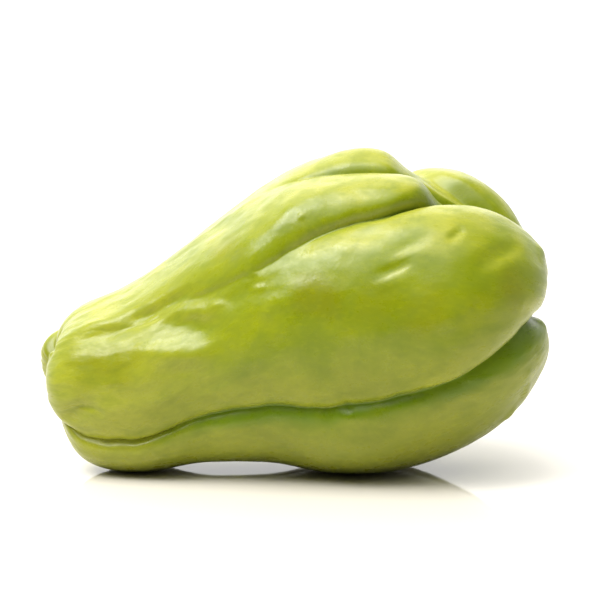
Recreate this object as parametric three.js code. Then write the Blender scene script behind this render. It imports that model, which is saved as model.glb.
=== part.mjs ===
// A chayote squash, picked and lying on its side: one pear-shaped fruit with six lobes.
// Millimetres and degrees, +Z up, +X towards the broad blossom end, -Y towards the front.
// The skin is a family of meridians that run from the stem pole to the blossom pole. Each lobe has
// a ridge meridian, each furrow lies between two ridges, and a lobe bulges from furrow to furrow.
import * as THREE from "three";

// Driving dimensions.
const ROWS_PER_STATION = 5; // mesh rows from one station of a ridge to the next
const COLUMNS_PER_LOBE = 9; // mesh columns across a lobe
const COLUMN_SPREAD = 0.8; // 1 is even, less crowds the mesh columns towards the furrows
const CORE_START = -40; // furrows sink towards a core on the centre line,
const CORE_END = 35; // which lies between these two places along the fruit
const PRESSED_FLAT = 0.7; // how much of the underside is flattened by the fruit's own weight

// Height of the fruit's centre line, at equal steps from the stem end to the blossom end.
const CENTRE_START = -72;
const CENTRE_END = 72;
const CENTRE_HEIGHTS = [26, 26.5, 35.5, 43.5, 45, 45, 45];

// The slit in the blossom end: its rings are stretched along it and squeezed across it.
const MOUTH_ANGLE = 2; // direction of the slit, from the front towards the top
const MOUTH_STATION = 10.3; // where the rings start to turn into the slit
const MOUTH_STRETCH = 1.7;
const MOUTH_SQUEEZE = 0.45;

// A ridge is [position along the fruit, distance from the centre line] at each station:
// 0 stem pole, 1 stem lip, 2 stem shoulder, 3 neck, 4 upper neck, 5 waist, 6 and 7 belly,
// 8 shoulder, 9 blossom end, 10 nose, 11 mouth lip, 12 blossom pole.
// A furrow is the one on the lobe's lower side, counted upwards from the front:
// [station, angle from the front towards the top, depth, rounding]. The rounding is how slowly
// the lobes swell beside it: 0.5 is a tight crease, 1 is a fold and 2 is a soft valley.
// An overhang is [station, how many times more slowly the lobe below swells from that furrow].
const LOBES = [
  {
    name: "front",
    ridge: [
      [-64, 0], [-71.2, 8.4], [-65.6, 18.7], [-46, 25.5], [-28, 29], [-10, 35], [8, 40],
      [26, 42], [44, 41.4], [61, 33.3], [70, 20.5], [66.8, 5], [56, 0],
    ],
    furrow: [
      [0, -38, 0, 0.8], [2, -41, 3, 0.6], [3, -38.5, 3.8, 0.55], [4, -33, 4.2, 0.55],
      [5, -32.5, 4.8, 0.55], [6, -33, 5.2, 0.55], [7, -27, 5.6, 0.55], [8, -21.5, 6.3, 0.6],
      [9, -10.5, 7.5, 1], [10, 2, 8, 2], [11, 2, 5, 2], [12, 2, 0, 2],
    ],
    overhang: [[0, 1], [2, 1], [3, 1.2], [5, 1.8], [6, 2], [8, 2], [9, 1.4], [10, 1], [12, 1]],
  },
  {
    name: "upper_front",
    ridge: [
      [-64, 0], [-68.5, 11.5], [-62, 20.8], [-46, 27.2], [-28, 33.4], [-10, 40.6], [10, 43.6],
      [32, 43.8], [41, 33.5], [54, 24], [66.5, 15.8], [66, 4], [56, 0],
    ],
    furrow: [
      [0, 58, 0, 2], [2, 50, 0, 2], [3, 44, 1, 1.5], [4, 39.5, 1.3, 2], [5, 36.5, 2.2, 1.9],
      [6, 46.5, 3.8, 1.2], [7, 56, 5, 0.8], [8, 68, 5.5, 0.7], [9, 81, 5, 0.8],
      [10, 84, 3.8, 0.8], [11, 85, 1.5, 0.8], [12, 80, 0, 0.8],
    ],
  },
  {
    name: "upper_back",
    ridge: [
      [-64, 0], [-69, 11.5], [-62.5, 21.3], [-46, 27.7], [-28, 33.8], [-10, 41], [7, 45.6],
      [23, 47.2], [33, 40.5], [54, 26], [67, 14], [66, 4], [56, 0],
    ],
    furrow: [
      [0, 90, 0, 2], [4, 83, 0, 2], [5, 80, 0.8, 1.8], [6, 78, 3, 0.8], [7, 78, 5, 0.7],
      [8, 81, 4.5, 0.8], [9, 84.5, 2, 0.8], [10, 87, 0.3, 0.8], [12, 90, 0, 0.8],
    ],
  },
  {
    name: "back",
    ridge: [
      [-64, 0], [-74.3, 10.7], [-67.5, 19.5], [-46, 25.5], [-28, 29], [-10, 35], [8, 39.5],
      [26, 43.3], [44, 44.6], [59.5, 35.4], [69, 16], [67, 4], [56, 0],
    ],
    furrow: [
      [0, 130, 0, 0.8], [2, 130, 2, 0.8], [4, 127, 3, 0.8], [6, 124, 4, 0.8], [7, 118, 4.5, 0.8],
      [8, 98, 5, 0.8], [9, 88, 4.5, 0.8], [10, 90, 3.5, 0.8], [11, 92, 1.5, 0.8], [12, 100, 0, 0.8],
    ],
  },
  {
    name: "back_floor",
    ridge: [
      [-64, 0], [-69, 9], [-62, 20], [-46, 27.8], [-28, 31.5], [-10, 38.5], [8, 46],
      [26, 47.2], [44, 41], [60, 30.5], [70, 12], [67, 3], [56, 0],
    ],
    furrow: [
      [0, 190, 0, 0.8], [2, 192, 3, 0.7], [4, 188, 4.5, 0.6], [6, 184, 6, 0.6], [8, 180, 6.5, 0.7],
      [10, 182, 7, 2], [11, 182, 5, 2], [12, 182, 0, 2],
    ],
  },
  {
    name: "front_floor",
    ridge: [
      [-64, 0], [-67.5, 11], [-61.7, 22.2], [-47, 27.5], [-28, 31.6], [-10, 38], [8, 44.9],
      [26, 45.2], [44, 39.8], [61, 29.2], [71.3, 13], [69, 3], [56, 0],
    ],
    furrow: [
      [0, 268, 0, 0.8], [3, 270, 1, 0.8], [6, 262, 2.5, 0.8], [8, 262, 3, 0.8], [10, 260, 1, 0.8],
      [12, 258, 0, 0.8],
    ],
  },
];

const TURN = 360;
const STATIONS = LOBES[0].ridge.length - 1;

// A smooth curve through [key, value, ...] rows: reads one column of them at any key.
function keyed(rows, column) {
  const keys = rows.map((row) => row[0]);
  const values = rows.map((row) => row[column]);
  const curve = new THREE.CubicInterpolant(keys, values, 1, new Float64Array(1));
  return (key) => curve.evaluate(key)[0];
}

const centreHeight = (() => {
  const step = (CENTRE_END - CENTRE_START) / (CENTRE_HEIGHTS.length - 1);
  const height = keyed(CENTRE_HEIGHTS.map((value, i) => [CENTRE_START + i * step, value]), 1);
  return (x) => height(THREE.MathUtils.clamp(x, CENTRE_START, CENTRE_END));
})();

const lobes = LOBES.map((lobe) => ({
  ridge: new THREE.SplineCurve(lobe.ridge.map(([along, out]) => new THREE.Vector2(along, out))),
  furrowAngle: keyed(lobe.furrow, 1),
  furrowDepth: keyed(lobe.furrow, 2),
  furrowRounding: keyed(lobe.furrow, 3),
  overhang: lobe.overhang ? keyed(lobe.overhang, 1) : () => 1,
}));

// The furrow on a lobe's lower side: midway between its two ridges, sunk by its depth into the flesh.
function furrowPoint(index, station) {
  const above = lobes[index % lobes.length];
  const below = lobes[(index + lobes.length - 1) % lobes.length];
  const share = station / STATIONS;
  const point = above.ridge.getPoint(share).lerp(below.ridge.getPoint(share), 0.5);
  const core = new THREE.Vector2(THREE.MathUtils.clamp(point.x, CORE_START, CORE_END), 0);
  return point.add(core.sub(point).setLength(above.furrowDepth(station)));
}

// A point on the skin: across runs from 0 to 1 over one lobe, upwards from the front.
function skinPoint(index, station, across) {
  const next = index + 1;
  const above = lobes[next % lobes.length];
  const lower = lobes[index].furrowAngle(station);
  const upper = above.furrowAngle(station) + (next === lobes.length ? TURN : 0);
  const half = Math.PI * across;
  const spread = Math.pow(Math.abs(Math.cos(half)), COLUMN_SPREAD);
  const side = 0.5 - 0.5 * Math.sign(Math.cos(half)) * spread;
  const rounding = THREE.MathUtils.lerp(
    lobes[index].furrowRounding(station),
    above.furrowRounding(station) * above.overhang(station),
    side,
  );
  const bulge = Math.pow(Math.sin(half), rounding);
  const floor = furrowPoint(index, station).lerp(furrowPoint(next, station), side);
  const { x, y: out } = floor.lerp(lobes[index].ridge.getPoint(station / STATIONS), bulge);

  const slit = THREE.MathUtils.smoothstep(station, MOUTH_STATION, STATIONS - 1);
  const angle = THREE.MathUtils.degToRad(THREE.MathUtils.lerp(lower, upper, side) - MOUTH_ANGLE);
  const along = out * Math.cos(angle) * THREE.MathUtils.lerp(1, MOUTH_STRETCH, slit);
  const over = out * Math.sin(angle) * THREE.MathUtils.lerp(1, MOUTH_SQUEEZE, slit);
  const turned = new THREE.Vector2(along, over).rotateAround(
    new THREE.Vector2(),
    THREE.MathUtils.degToRad(MOUTH_ANGLE),
  );
  return new THREE.Vector3(x, -turned.x, centreHeight(x) + turned.y);
}

// One closed skin: a pole at each end and rings of quads between them.
function fruitGeometry() {
  const rows = STATIONS * ROWS_PER_STATION;
  const columns = lobes.length * COLUMNS_PER_LOBE;
  const points = [skinPoint(0, 0, 0)];
  for (let row = 1; row < rows; row++) {
    for (let column = 0; column < columns; column++) {
      const index = Math.floor(column / COLUMNS_PER_LOBE);
      const across = (column % COLUMNS_PER_LOBE) / COLUMNS_PER_LOBE;
      points.push(skinPoint(index, row / ROWS_PER_STATION, across));
    }
  }
  points.push(skinPoint(0, STATIONS, 0));

  const vertex = (row, column) => 1 + (row - 1) * columns + (column % columns);
  const last = points.length - 1;
  const faces = [];
  for (let column = 0; column < columns; column++) {
    faces.push(0, vertex(1, column), vertex(1, column + 1));
    for (let row = 1; row < rows - 1; row++) {
      const [a, b] = [vertex(row, column), vertex(row, column + 1)];
      const [c, d] = [vertex(row + 1, column + 1), vertex(row + 1, column)];
      faces.push(a, c, b, a, d, c);
    }
    faces.push(last, vertex(rows - 1, column + 1), vertex(rows - 1, column));
  }
  const geometry = new THREE.BufferGeometry().setFromPoints(points);
  geometry.setIndex(faces);
  return geometry;
}

// Centres the fruit over the origin and sets it down, pressed flat where it meets the surface.
function setDown(geometry) {
  geometry.computeBoundingBox();
  const { min, max } = geometry.boundingBox;
  geometry.translate(-(min.x + max.x) / 2, -(min.y + max.y) / 2, -min.z - PRESSED_FLAT);
  const position = geometry.getAttribute("position");
  for (let i = 0; i < position.count; i++) {
    position.setZ(i, Math.max(0, position.getZ(i)));
  }
  return geometry;
}

const skin = new THREE.MeshStandardMaterial({ color: 0xa9b43c, roughness: 0.42, metalness: 0 });
const fruit = new THREE.Mesh(setDown(fruitGeometry()), skin);
fruit.name = "chayote_fruit";

const part = new THREE.Group();
part.add(fruit);
export default part;
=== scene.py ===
import math

import bmesh
import bpy
import numpy as np
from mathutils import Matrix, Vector, noise
from mathutils.bvhtree import BVHTree


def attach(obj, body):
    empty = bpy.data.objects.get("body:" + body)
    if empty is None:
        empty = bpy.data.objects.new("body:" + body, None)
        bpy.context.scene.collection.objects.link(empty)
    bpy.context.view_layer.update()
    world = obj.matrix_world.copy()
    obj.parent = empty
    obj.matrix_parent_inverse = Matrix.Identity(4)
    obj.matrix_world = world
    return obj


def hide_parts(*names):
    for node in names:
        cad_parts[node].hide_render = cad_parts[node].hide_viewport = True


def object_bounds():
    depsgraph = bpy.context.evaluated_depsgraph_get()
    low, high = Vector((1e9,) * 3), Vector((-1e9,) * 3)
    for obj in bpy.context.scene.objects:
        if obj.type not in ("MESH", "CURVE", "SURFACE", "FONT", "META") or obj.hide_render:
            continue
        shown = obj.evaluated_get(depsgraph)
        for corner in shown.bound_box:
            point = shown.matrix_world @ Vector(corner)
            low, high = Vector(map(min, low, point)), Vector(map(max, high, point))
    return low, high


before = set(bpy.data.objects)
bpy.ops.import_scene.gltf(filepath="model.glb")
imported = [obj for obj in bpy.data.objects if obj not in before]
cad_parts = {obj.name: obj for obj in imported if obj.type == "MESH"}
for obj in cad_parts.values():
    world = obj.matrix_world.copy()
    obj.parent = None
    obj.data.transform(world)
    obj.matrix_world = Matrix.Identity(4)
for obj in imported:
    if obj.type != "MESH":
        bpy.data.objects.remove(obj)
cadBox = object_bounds()

mm = 0.001  # the frame is in metres, sizes here are in millimetres


def hexColour(code):
    # sRGB hex to the linear colour that a shader takes
    linear = []
    for i in (0, 2, 4):
        c = int(code[i:i + 2], 16) / 255
        linear.append(c / 12.92 if c <= 0.04045 else ((c + 0.055) / 1.055) ** 2.4)
    return (*linear, 1)


def addNode(tree, kind, settings, links=()):
    # settings name a property or an input, links are (input, node, its output)
    made = tree.nodes.new("ShaderNode" + kind)
    for name, value in settings.items():
        if name == "stops":
            for i, (place, colour) in enumerate(value):
                stop = made.color_ramp.elements[i] if i < 2 else made.color_ramp.elements.new(place)
                stop.position = place
                stop.color = colour
        elif hasattr(made, str(name)):
            setattr(made, name, value)
        else:
            made.inputs[name].default_value = value
    for socket, source, output in links:
        tree.links.new(source.outputs[output], made.inputs[socket])
    return made


# the camera looks at the fruit's front, a little from above
view = {
    "elevation": 8.5,  # degrees above the floor
    "distance": 900,  # mm from the fruit
    "widthSeen": 171.6,  # mm across the picture at the fruit
    "aimOffset": (2, 0, 2.7),  # mm from the middle of the fruit's box
    "sensorWidth": 36,  # mm
    "farthest": 50,  # m, where the view ends
}


def makeCamera():
    low, high = cadBox
    aim = (low + high) / 2 + Vector(view["aimOffset"]) * mm
    tilt = math.radians(view["elevation"])
    data = bpy.data.cameras.new("camera")
    data.sensor_width = view["sensorWidth"]
    data.lens = data.sensor_width * view["distance"] / view["widthSeen"]
    data.clip_end = view["farthest"]
    camera = bpy.data.objects.new("camera", data)
    camera.location = aim + Vector((0, -math.cos(tilt), math.sin(tilt))) * view["distance"] * mm
    camera.rotation_euler = (math.pi / 2 - tilt, 0, 0)
    bpy.context.scene.collection.objects.link(camera)
    bpy.context.scene.camera = camera
    print("camera set")


# the fruit, in mm: a place on it is (how far along, degrees turned from its front towards its top)
fruit = {
    "mergeDistance": 0.001,
    "widestEdge": 4.2,  # edges longer than this are halved, so that small marks find points to move
    "subdivisions": 2,
    "spine": {"heights": (26, 45), "rise": (-60, 10)},  # at the neck and the belly, and between where
    "belly": (10, 0, 42),  # the middle of the broad part, which the skin's streaks run around
    "streakPath": {
        "neckStretch": 1.3,  # mm of pattern for each mm of neck
        "bellyArc": 55,  # mm of pattern for each radian around the belly's middle
        "girth": 32,  # mm, the radius that the pattern is wrapped at
    },
    "degreeLength": 0.6,  # mm of skin for each degree turned
    "outside": 90,  # mm from the spine, well clear of the skin
    "sameSide": (0.2, 0.6),  # cosines: how far a mark reaches round an edge
    "taperPower": 0.5,  # how bluntly a mark ends
    "restingZone": (0.3, 9),  # mm up: below the first nothing is moved, above the second everything is
    "wander": ((0.6, 15), (0.25, 6)),  # how far the folds stray sideways, over what length
    "wanderGirth": 60,  # mm around the fruit over which the straying changes
    "undulation": (0.4, 22),  # broad uneven growth: height, length
    "ribs": (0.18, (24, 6, 6)),  # faint lengthwise ribs: height, length and widths
    "pebbles": (0.1, (6, 2.6, 2.6)),  # the fine unevenness that breaks up a highlight
    "marks": [
        # (name, places, width, height), a negative height is pressed in
        ("neckShelf", ((-59, 31), (-54, 26), (-49, 22), (-44, 20)), 7, 0.45),
        ("neckTerrace", ((-41, 18), (-36, 13), (-30, 8), (-24, 3)), 5, 1.2),
        ("neckDimple", ((-34.5, 28), (-29, 22), (-21, 14)), 6, -0.9),
        ("neckShoulder", ((-36.5, 39), (-30.5, 33), (-25, 28), (-19, 23)), 4, 0.7),
        ("neckNotch", ((-45.5, 42), (-38, 41), (-29.5, 42)), 3.5, -1.5),
        ("neckCrown", ((-57, 49.5), (-53, 52.5), (-47.5, 53)), 5, 0.5),
        ("stemPleat", ((-66.5, 74), (-67.5, 60), (-68.5, 36)), 2.4, -1.3),
        ("stemFold", ((-65, -19.5), (-61, -12.5), (-55.5, -7)), 3.2, -0.6),
        ("stemCrinkle", ((-62.5, -23), (-58, -15.5)), 2, -0.5),
        ("neckFill", ((-61, 49.5), (-54, 47), (-47, 44.5)), 4, 0.8),
        (
            "stemCrescent",
            ((-64.2, -23.8), (-62, -14.3), (-59.4, -10.5), (-56.5, -11.3), (-54, -14.1)), 2.2, -0.9,
        ),
        ("stemDip", ((-62.1, -20.3), (-59.2, -16), (-56.3, -15.9)), 4, -0.5),
        ("neckRoll", ((-61, -52), (-53, -51), (-45, -49), (-37, -45), (-30, -41)), 8, 1.3),
        ("shoulderLump", ((-5, 52), (4, 57)), 6, 0.3),
        ("shoulderFold", ((2, 49.5), (12, 52), (22, 55), (31, 60)), 9, -0.7),
        ("crownFace", ((11, 87.5), (20, 87.5), (28, 88)), 6, 0.8),
        ("stemLip", ((-67, -20), (-68, 10), (-68.5, 40)), 7, 0.4),
        ("stemLipBack", ((-71, 90), (-71.5, 115), (-71, 140)), 6, 0.4),
        ("brimDent", ((18.5, 38.5), (22, 40.5)), 5, -0.5),
        ("cheekScratch", ((23.3, 22), (25.5, 23), (27.7, 24.3), (29.6, 25.5), (31.8, 27)), 2.2, -1),
        ("cheekLip", ((23.8, 20), (26.3, 21.3), (28.5, 22.5), (30.7, 24.2)), 2.6, 0.5),
        ("browTick1", ((42.9, 37), (44.6, 39), (46.3, 41.9)), 1.8, -0.4),
        ("cheekPleat", ((27, 31), (30, 32.5), (33.5, 35), (36.5, 37)), 3, -0.45),
        ("browTick2", ((44, 39), (46.5, 42)), 1.8, -0.4),
        ("shoulderGroove", ((51.5, 27.5), (55, 31), (58.5, 35.5), (61.5, 40)), 4, -0.9),
        ("noseKnuckle", ((69.5, 56), (69.7, 47.7)), 4, 0.6),
        ("lipNick1", ((34.9, -19.6), (35.9, -25)), 2.2, -0.4),
        ("lipNick2", ((14.7, -26.9), (15.3, -31.7)), 2.2, -0.4),
        ("chinStep1", ((66, -46), (65.5, -52)), 3, 0.7),
        ("chinStep2", ((62, -58), (61, -61.5)), 3, 0.7),
        ("crownKnuckle", ((48, 94.5), (49.5, 93)), 4, 0.2),
        ("bead1", ((2, 49), (2.4, 48.5)), 1.4, 0.4),
        ("bead2", ((-11.7, 33), (-10.5, 32.5)), 1.2, 0.3),
        ("bead3", ((-7.7, 13.2), (-6.6, 12.7)), 1.4, 0.3),
        ("bead4", ((-22, 28), (-19.7, 26)), 1.6, 0.35),
        ("bead5", ((-10.8, 26), (-8.6, 25)), 1.6, 0.35),
        ("bead6", ((63, 12), (63.2, 10.5)), 1.4, 0.3),
        ("bead7", ((48, 11), (48.6, 10.4)), 1, 0.25),
        ("bead8", ((66, -33), (66.7, -34)), 1, 0.3),
    ],
    "patches": [
        # (place, radius, strength) of the olive tinge
        ((7, 15.5), 11, 0.9), ((-57, 18), 9, 0.7), ((-49, 15), 9, 0.7), ((60, 20), 8, 0.7),
        ((-19, 52), 8, 0.5), ((2, 48), 7, 0.2), ((35, 9), 11, 0.55), ((22, 12), 12, 0.4),
        ((53, 95), 12, 0.25), ((20, 150), 14, 0.7), ((-30, 170), 10, 0.6), ((45, 200), 12, 0.5),
        ((-10, 235), 11, 0.6), ((-69.5, 120), 7, 1),
    ],
    "patchEdge": {"core": 0.2, "ragged": 0.4, "raggedSize": 7},
    # painted light: the upper side is lightened as if lit from above, the underside as if lit by the
    # table below, and the skin is paler towards the stem
    "paleAndLit": {
        "upper": (0.48, 1),  # where the painted light starts and is full, by how far the skin faces up
        "under": (0, 0.4),  # the same by how far it faces down, for painted bounce light from the table
        "underAmount": 0.35,
        "stemEnd": (5, 50),  # mm towards the stem
        "stemEndAmount": 0.6,
        "ragged": 0.15,  # how uneven the edge of the lightening is
        "raggedSize": 9,  # mm
        "raggedReach": 20,  # mm that the edge strays towards the stem
    },
    "creaseRounds": 40,  # rounds of smoothing that the depth of a crease is measured against
    "shelter": {
        "rays": ((58, 8), (78, 6)),  # (degrees above the floor, how many around)
        "start": 0.3,  # mm off the skin
        "reach": 20,  # mm
        "grazing": 0.1,  # cosine below which light only grazes the skin
        "rounds": 12,  # rounds of smoothing
        "ragged": 0.5,
        "raggedSize": (4, 3, 3),  # mm
        "neck": (-58, -15),  # mm along: towards the stem the painted shade fades out, so a crease is as pale as the rest
    },
    "scar": {  # where the stalk broke off, mm
        "radius": 4.5, "ridge": 0.5, "ridgeWidth": 1.5,
        "core": 0.6,  # the share of the radius that is cork all over
    },
    "seeds": {"lift": 2, "paleAndLit": 9, "patch": 9, "shelter": 12},
    "seedDistance": 17.3,  # how far apart two seeds lie in the noise
    "noiseSwing": 1.6,  # brings the noise to about -1 to 1
}


def fade(value, low, high):
    t = np.clip((value - low) / (high - low), 0, 1)
    return t * t * (3 - 2 * t)


def spineHeight(along):
    neck, belly = fruit["spine"]["heights"]
    return neck + (belly - neck) * fade(along, *fruit["spine"]["rise"])


def unevenness(places, size, seed):
    # smooth noise from about -1 to 1, its bumps as large as size says
    scaled = places / np.broadcast_to(np.asarray(size, float), (3,)) + seed * fruit["seedDistance"]
    return np.array([noise.noise(Vector(place)) for place in scaled]) * fruit["noiseSwing"]


def mergedCopy():
    bm = bmesh.new()
    bm.from_mesh(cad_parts["chayote_fruit"].data)
    bmesh.ops.remove_doubles(bm, verts=bm.verts, dist=fruit["mergeDistance"] * mm)
    bmesh.ops.join_triangles(
        bm, faces=bm.faces, angle_face_threshold=math.pi, angle_shape_threshold=math.pi,
        topology_influence=2,
    )
    wide = [edge for edge in bm.edges if edge.calc_length() > fruit["widestEdge"] * mm]
    bmesh.ops.subdivide_edges(bm, edges=wide, cuts=1, smooth=0.5, use_grid_fill=True)
    mesh = bpy.data.meshes.new("chayote_skin")
    bm.to_mesh(mesh)
    fourSided = sum(len(face.verts) == 4 for face in bm.faces)
    print("merged copy:", len(bm.faces), "faces,", fourSided, "with 4 sides")
    bm.free()
    return mesh


def smoothedCopy():
    skin = bpy.data.objects.new("chayote_skin", mergedCopy())
    bpy.context.scene.collection.objects.link(skin)
    smooth = skin.modifiers.new("smooth", "SUBSURF")
    smooth.levels = fruit["subdivisions"]
    smooth.render_levels = fruit["subdivisions"]
    bpy.context.view_layer.update()
    evaluated = skin.evaluated_get(bpy.context.evaluated_depsgraph_get())
    finished = bpy.data.meshes.new_from_object(evaluated)
    skin.modifiers.clear()
    skin.data = finished
    skin.data.shade_smooth()
    return skin


def readPoints(mesh):
    points = np.empty(len(mesh.vertices) * 3)
    mesh.vertices.foreach_get("co", points)
    return points.reshape(-1, 3) / mm


def writePoints(mesh, points):
    mesh.vertices.foreach_set("co", (points * mm).ravel())
    mesh.update()


def readNormals(mesh):
    normals = np.empty(len(mesh.vertices) * 3)
    mesh.vertex_normals.foreach_get("vector", normals)
    return normals.reshape(-1, 3)


def treeOf(mesh, points):
    # what finds where a ray meets the skin
    return BVHTree.FromPolygons(points.tolist(), [tuple(face.vertices) for face in mesh.polygons])


def turnOf(points):
    return np.arctan2(points[:, 2] - spineHeight(points[:, 0]), -points[:, 1])


def flowOf(points):
    # coordinates that follow the skin from end to end: mm along it, then two that go around it
    fromBelly = points - np.array(fruit["belly"])
    across = np.hypot(fromBelly[:, 1], fromBelly[:, 2])
    path = fruit["streakPath"]
    neckSide = path["neckStretch"] * fromBelly[:, 0]
    bellySide = path["bellyArc"] * np.arctan2(fromBelly[:, 0], across)
    along = np.where(fromBelly[:, 0] < 0, neckSide, bellySide)
    turn = turnOf(points)
    return np.stack([along, path["girth"] * np.cos(turn), path["girth"] * np.sin(turn)], axis=1)


def placesOnSkin(tree, places):
    # where a path of places lies on the skin, about a millimetre apart
    found = []
    for (along, turn), (nextAlong, nextTurn) in zip(places, places[1:]):
        around = fruit["degreeLength"] * (nextTurn - turn)
        steps = max(2, int(math.hypot(nextAlong - along, around)))
        for step in range(steps + 1):
            t = step / steps
            x = along + t * (nextAlong - along)
            angle = math.radians(turn + t * (nextTurn - turn))
            out = Vector((0, -math.cos(angle), math.sin(angle)))
            start = Vector((x, 0, spineHeight(x))) + out * fruit["outside"]
            hit, normal, _, _ = tree.ray_cast(start, -out)
            if hit:
                found.append((np.array(hit), np.array(normal)))
    return found


def markReach(points, normals, path, width):
    # 1 along a path on the skin, fading to 0 at its width and towards its ends
    reach = np.zeros(len(points))
    for i, (place, normal) in enumerate(path):
        taper = math.sin(math.pi * (i + 1) / (len(path) + 1)) ** fruit["taperPower"]
        distance = np.linalg.norm(points - place, axis=1)
        sameSide = fade(normals @ normal, *fruit["sameSide"])
        reach = np.maximum(reach, taper * sameSide * (1 - fade(distance, 0, width)))
    return reach


def scarDistance(points):
    # mm from the bottom of the hollow that the stalk grew from
    out = np.hypot(points[:, 1], points[:, 2] - spineHeight(points[:, 0]))
    hollow = points[np.argmin(np.where(points[:, 0] < 0, out, np.inf))]
    return np.linalg.norm(points - hollow, axis=1)


def sculptFruit(mesh):
    points = readPoints(mesh)
    normals = readNormals(mesh)
    free = fade(points[:, 2], *fruit["restingZone"])
    flow = flowOf(points)

    turn = turnOf(points)
    around = np.stack([np.zeros(len(points)), np.sin(turn), np.cos(turn)], axis=1)
    girth = fruit["wanderGirth"]
    stray = np.zeros(len(points))
    for seed, (far, length) in enumerate(fruit["wander"]):
        stray += far * unevenness(flow, (length, girth, girth), seed)
    points = points + around * (stray * free)[:, None]

    lift = np.zeros(len(points))
    growth = [(points, "undulation"), (flow, "ribs"), (flow, "pebbles")]
    for seed, (places, name) in enumerate(growth, fruit["seeds"]["lift"]):
        height, size = fruit[name]
        lift += height * unevenness(places, size, seed)
    points = points + normals * (lift * free)[:, None]
    writePoints(mesh, points)
    print("fruit: uneven growth added")

    normals = readNormals(mesh)
    tree = treeOf(mesh, points)
    lift = np.zeros(len(points))
    for _, places, width, height in fruit["marks"]:
        lift += height * markReach(points, normals, placesOnSkin(tree, places), width)
    scar = fruit["scar"]
    fromRidge = np.abs(scarDistance(points) - scar["radius"])
    lift += scar["ridge"] * (1 - fade(fromRidge, 0, scar["ridgeWidth"]))
    points = points + normals * (lift * free)[:, None]
    points[:, 2] = np.maximum(points[:, 2], 0)
    writePoints(mesh, points)
    print("fruit:", len(fruit["marks"]), "marks pressed in or raised")
    return flow


def paleAndLitOf(points, normals):
    # how far the green is lightened, from 0 to 1: painted light most on the upper side, painted bounce
    # light from the table on the underside, and paler towards the stem
    paleAndLit = fruit["paleAndLit"]
    ragged = paleAndLit["ragged"] * unevenness(points, paleAndLit["raggedSize"], fruit["seeds"]["paleAndLit"])
    upper = fade(normals[:, 2] + ragged, *paleAndLit["upper"])
    under = paleAndLit["underAmount"] * fade(ragged - normals[:, 2], *paleAndLit["under"])
    towardsStem = paleAndLit["raggedReach"] * ragged - points[:, 0]
    stemEnd = paleAndLit["stemEndAmount"] * fade(towardsStem, *paleAndLit["stemEnd"])
    return np.maximum(upper, np.maximum(under, stemEnd))


def patchOf(mesh, points):
    # 1 in the middle of an olive patch, fading to 0 at its ragged edge
    tree = treeOf(mesh, points)
    edge = fruit["patchEdge"]
    ragged = 1 + edge["ragged"] * unevenness(points, edge["raggedSize"], fruit["seeds"]["patch"])
    patch = np.zeros(len(points))
    for place, radius, strength in fruit["patches"]:
        (middle, _), *_ = placesOnSkin(tree, (place, place))
        distance = np.linalg.norm(points - middle, axis=1) * ragged
        patch = np.maximum(patch, strength * (1 - fade(distance, edge["core"] * radius, radius)))
    return patch


def shelterOf(mesh, points, normals):
    # the share of the light from above that the fruit's own lobes keep off each point
    shade = fruit["shelter"]
    tree = treeOf(mesh, points)
    lights = []
    for elevation, count in shade["rays"]:
        rise = math.radians(elevation)
        level = math.cos(rise)
        for i in range(count):
            around = 2 * math.pi * i / count
            lights.append(Vector((level * math.cos(around), level * math.sin(around), math.sin(rise))))
    shelter = np.zeros(len(points))
    for i, (point, normal) in enumerate(zip(points.tolist(), normals.tolist())):
        normal = Vector(normal)
        start = Vector(point) + normal * shade["start"]
        seen = [light for light in lights if light.dot(normal) > shade["grazing"]]
        hits = [tree.ray_cast(start, light, shade["reach"])[0] for light in seen]
        blocked = sum(hit is not None for hit in hits)
        shelter[i] = blocked / max(1, len(seen))
    ragged = 1 + shade["ragged"] * unevenness(points, shade["raggedSize"], fruit["seeds"]["shelter"])
    return averaged(mesh, shelter * ragged, shade["rounds"]) * fade(points[:, 0], *shade["neck"])


def averaged(mesh, values, rounds):
    # each point's value blended with its neighbours' again and again
    edges = np.empty(len(mesh.edges) * 2, int)
    mesh.edges.foreach_get("vertices", edges)
    a, b = edges.reshape(-1, 2).T
    count = np.bincount(np.concatenate([a, b]), minlength=len(values))
    for _ in range(rounds):
        total = np.bincount(a, values[b], len(values)) + np.bincount(b, values[a], len(values))
        values = 0.5 * values + 0.5 * total / count
    return values


def creaseOf(mesh, points, normals):
    # how far each point lies below its surroundings, in mm: positive down in a furrow, where the
    # colour gets painted shade
    around = np.stack([averaged(mesh, axis, fruit["creaseRounds"]) for axis in points.T], axis=1)
    return ((around - points) * normals).sum(axis=1)


def scarOf(points):
    # 1 on the cork where the stalk was, fading to 0 at the scar's rim
    radius = fruit["scar"]["radius"]
    return 1 - fade(scarDistance(points), fruit["scar"]["core"] * radius, radius)


def makeFruit():
    skin = smoothedCopy()
    mesh = skin.data
    flow = sculptFruit(mesh)
    mesh.attributes.new("flow", "FLOAT_VECTOR", "POINT").data.foreach_set("vector", flow.ravel())
    points = readPoints(mesh)
    normals = readNormals(mesh)
    painted = {
        "paleAndLit": paleAndLitOf(points, normals),
        "patch": patchOf(mesh, points),
        "scar": scarOf(points),
        "crease": creaseOf(mesh, points, normals),
        "shelter": shelterOf(mesh, points, normals),
    }
    for name, values in painted.items():
        mesh.attributes.new(name, "FLOAT", "POINT").data.foreach_set("value", values)
        print("fruit:", name, "from", round(values.min(), 2), "to", round(values.max(), 2))
    mesh.materials.clear()
    mesh.materials.append(chayoteSkin())
    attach(skin, "root")
    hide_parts("chayote_fruit")
    print("fruit:", len(mesh.vertices), "points")


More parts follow.
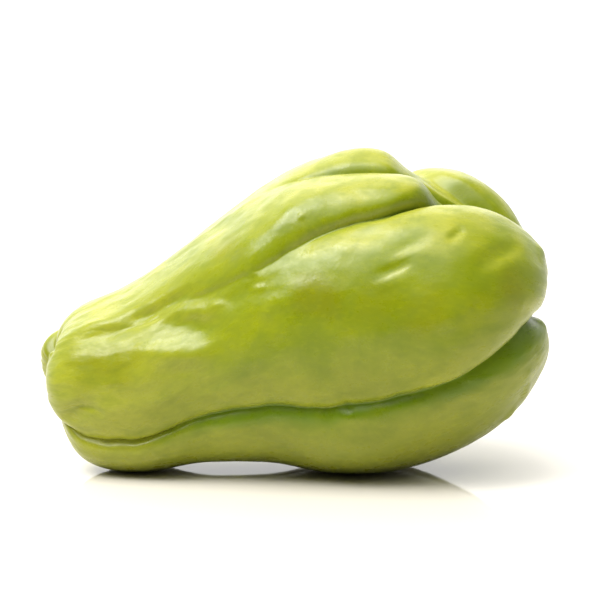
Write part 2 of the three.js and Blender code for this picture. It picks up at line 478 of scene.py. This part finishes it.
skinLook = {
    "patterns": {
        # mm along the fruit, mm around it, detail, roughness
        "mottle": (26, 11, 3, 0.55),  # broad drifts of lighter and deeper green
        "cloud": (6, 2.6, 6, 0.65),  # fine wrinkles, drawn out along the fruit
        "blotch": (9, 6, 8, 0.75),
        "streak": (2.6, 0.8, 4, 0.65),
        "fineStreak": (9, 1.6, 2, 0.5),
        "grain": (2.4, 1.9, 4, 0.55),  # pores of about 0.3 mm wouldn't show, so they are drawn coarser
    },
    "greens": ((0.3, "6f7e06"), (0.7, "8a9411"), (0.5, "7d8a09")),
    "tints": [
        # (pattern or painted value, where it starts and is full, amount, colour)
        # painted light: upward faces and, more faintly, downward faces turned a paler yellow-green,
        # and paler towards the stem
        ("paleAndLit", 0, 1, 1, "a9aa37"),
        ("patch", 0, 1, 0.9, "7a7f04"),
        ("cloud", 0.45, 0.68, 0.38, "6a7c05"),
        ("blotch", 0.52, 0.66, 0.38, "6a7c05"),
        ("streak", 0.5, 0.75, 0.16, "b2b61c"),
        # painted shade: deeper green where the lobes keep the light from above off the skin
        ("shelter", 0.1, 0.7, 0.7, "5c7c06"),
        # painted shade: deeper green down in the furrows
        ("crease", 0.15, 0.9, 0.4, "4f7008"),
        ("scar", 0, 1, 0.85, "8a7a48"),
    ],
    "streakBump": 0.02,  # mm
    "grainBump": 0.11,
    "roughness": (0.19, 0.44),  # from where the wax is whole to where it is rubbed
    "rubbed": (0.3, 0.7),  # the cloud values that those belong to
    "ior": 1.43,
    "sheen": {"Sheen Weight": 0.06, "Sheen Roughness": 0.45},
}


def chayoteSkin():
    # fresh chayote skin: thin, taut and faintly waxy, so highlights are soft but clear
    material = bpy.data.materials.new("chayote_skin_fresh")
    material.use_nodes = True
    tree = material.node_tree
    tree.nodes.clear()
    flow = addNode(tree, "Attribute", {"attribute_name": "flow"})
    sources = {}
    for name in ("paleAndLit", "patch", "shelter", "crease", "scar"):
        sources[name] = addNode(tree, "Attribute", {"attribute_name": name})
    for name, (length, width, detail, roughness) in skinLook["patterns"].items():
        stretched = addNode(tree, "Mapping", {
            "Scale": (1 / length, 1 / width, 1 / width), "label": name,
        }, [("Vector", flow, "Vector")])
        sources[name] = addNode(tree, "TexNoise", {
            "Scale": 1, "Detail": detail, "Roughness": roughness,
        }, [("Vector", stretched, "Vector")])

    colour = addNode(tree, "ValToRGB", {
        "stops": [(place, hexColour(green)) for place, green in skinLook["greens"]],
    }, [("Fac", sources["mottle"], "Fac")])
    for name, start, full, amount, tint in skinLook["tints"]:
        share = addNode(tree, "MapRange", {
            "From Min": start, "From Max": full, "To Min": 0, "To Max": amount,
        }, [("Value", sources[name], "Fac")])
        # sockets 0, 6 and 7 of a colour mix are its share and its two colours, and 2 is its result
        colour = addNode(tree, "Mix", {"data_type": "RGBA", 7: hexColour(tint)}, [
            (0, share, "Result"), (6, colour, 2 if colour.type == "MIX" else 0),
        ])

    streakBump = addNode(tree, "Bump", {"Strength": 1, "Distance": skinLook["streakBump"] * mm}, [
        ("Height", sources["fineStreak"], "Fac"),
    ])
    grainBump = addNode(tree, "Bump", {"Strength": 1, "Distance": skinLook["grainBump"] * mm}, [
        ("Height", sources["grain"], "Fac"), ("Normal", streakBump, "Normal"),
    ])
    whole, rubbed = skinLook["rubbed"]
    smoothest, roughest = skinLook["roughness"]
    roughness = addNode(tree, "MapRange", {
        "From Min": whole, "From Max": rubbed, "To Min": smoothest, "To Max": roughest,
    }, [("Value", sources["cloud"], "Fac")])
    shader = addNode(tree, "BsdfPrincipled", {"IOR": skinLook["ior"], **skinLook["sheen"]}, [
        ("Base Color", colour, 2), ("Roughness", roughness, "Result"), ("Normal", grainBump, "Normal"),
    ])
    addNode(tree, "OutputMaterial", {}, [("Surface", shader, "BSDF")])
    return material


# the studio: a glossy white table under a wide softbox, with pale walls behind and to the right
studio = {
    "table": {"size": 12, "colour": "e1dbd0", "roughness": 0.05, "ior": 1.15},  # size in m
    "softboxes": [
        # the long softbox overhead, as two soft suns side by side: (name, from, angle, strength)
        ("softboxRight", (-0.2, -0.08, 0.98), 32, 1.62),
        ("softboxLeft", (-0.52, -0.3, 0.8), 32, 2.2),
    ],
    "roomGlow": 0.06,
    "glows": [
        # (direction it lies in, cosines where it starts and is full, strength)
        ((-0.15, 0.98, 0), 0, 0.75, 1.7),  # white wall behind
        ((-0.2, 0.75, 0.62), 0.75, 0.95, 1.6),  # softbox hung above the wall
        ((-0.05, -0.4, 0.92), 0.8, 0.96, 3.3),  # front half of the softbox overhead
        ((0.97, 0.2, 0.12), 0.7, 0.98, 0.4),  # pale wall to the right
    ],
    "backdrop": 1.1,  # the white that the view ends in
}


def whiteAcrylic():
    # cast white acrylic sheet, polished: an even white with faint, almost sharp reflections,
    # fainter than acrylic's own IOR of 1.49 would give
    table = studio["table"]
    material = bpy.data.materials.new("white_acrylic_sheet")
    material.use_nodes = True
    tree = material.node_tree
    tree.nodes.clear()
    shader = addNode(tree, "BsdfPrincipled", {
        "Base Color": hexColour(table["colour"]), "Roughness": table["roughness"], "IOR": table["ior"],
    })
    addNode(tree, "OutputMaterial", {}, [("Surface", shader, "BSDF")])
    return material


def makeFloor():
    bm = bmesh.new()
    bmesh.ops.create_grid(bm, x_segments=1, y_segments=1, size=studio["table"]["size"] / 2)
    mesh = bpy.data.meshes.new("floor")
    bm.to_mesh(mesh)
    bm.free()
    floor = bpy.data.objects.new("floor", mesh)
    bpy.context.scene.collection.objects.link(floor)
    mesh.materials.append(whiteAcrylic())
    print("table laid")


def makeLights():
    for name, direction, angle, strength in studio["softboxes"]:
        sun = bpy.data.lights.new(name, "SUN")
        sun.energy = strength
        sun.angle = math.radians(angle)
        lamp = bpy.data.objects.new(name, sun)
        lamp.rotation_euler = Vector(direction).to_track_quat("Z", "Y").to_euler()
        bpy.context.scene.collection.objects.link(lamp)

    world = bpy.data.worlds.new("studio")
    bpy.context.scene.world = world
    world.use_nodes = True
    tree = world.node_tree
    tree.nodes.clear()
    where = addNode(tree, "TexCoord", {})
    glow = addNode(tree, "Value", {})
    glow.outputs[0].default_value = studio["roomGlow"]
    for direction, start, full, strength in studio["glows"]:
        facing = addNode(tree, "VectorMath", {"operation": "DOT_PRODUCT", 1: direction}, [
            (0, where, "Generated"),
        ])
        part = addNode(tree, "MapRange", {
            "interpolation_type": "SMOOTHSTEP",
            "From Min": start, "From Max": full, "To Min": 0, "To Max": strength,
        }, [("Value", facing, "Value")])
        glow = addNode(tree, "Math", {"operation": "ADD"}, [(0, glow, 0), (1, part, "Result")])
    room = addNode(tree, "Background", {}, [("Strength", glow, 0)])
    white = addNode(tree, "Background", {"Color": (1, 1, 1, 1), "Strength": studio["backdrop"]})
    path = addNode(tree, "LightPath", {})
    mix = addNode(tree, "MixShader", {}, [
        (0, path, "Is Camera Ray"), (1, room, "Background"), (2, white, "Background"),
    ])
    addNode(tree, "OutputWorld", {}, [("Surface", mix, "Shader")])
    bpy.context.scene.view_settings.view_transform = "Standard"
    print("studio lit")


makeCamera()
makeFruit()
makeFloor()
makeLights()
